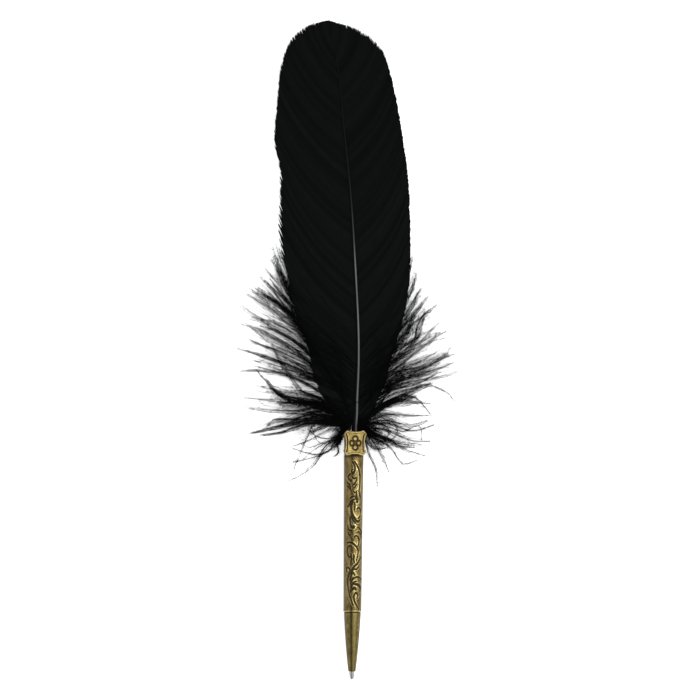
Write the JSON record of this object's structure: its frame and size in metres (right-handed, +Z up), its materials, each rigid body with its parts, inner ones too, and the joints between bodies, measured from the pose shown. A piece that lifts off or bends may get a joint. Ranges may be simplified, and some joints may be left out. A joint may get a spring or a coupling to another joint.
{
  "type": "feather quill pen",
  "caption": "Black goose feather with downy locks, its quill fixed in an engraved antique brass ballpoint holder; it lies flat on a surface.",
  "frame": {"origin": "on the surface it lies on, under the middle of the whole pen's footprint", "axes": "+Y along the pen towards the feather's tip, +X to the right of the face with the pale shaft, +Z up out of that face"},
  "size_m": [0.0966, 0.2826, 0.0111],
  "materials": {
    "feather": "dyed black barbs and down, matt with a faint sheen",
    "collar_brass": "cast, antiqued, bright on its rims and dark in its grooves",
    "barrel_brass": "drawn tube with engraved scrolls, antiqued dark in the hollows",
    "cone_brass": "turned, antiqued, mottled",
    "ink_tube": "plain drawn tube",
    "steel": "turned steel"
  },
  "bodies": {
    "root": {"feather": "feather", "collar": "collar_brass", "barrel": "barrel_brass", "nose_cone": "cone_brass", "ink_tube": "ink_tube", "writing_point": "steel"}
  },
  "joints": []
}
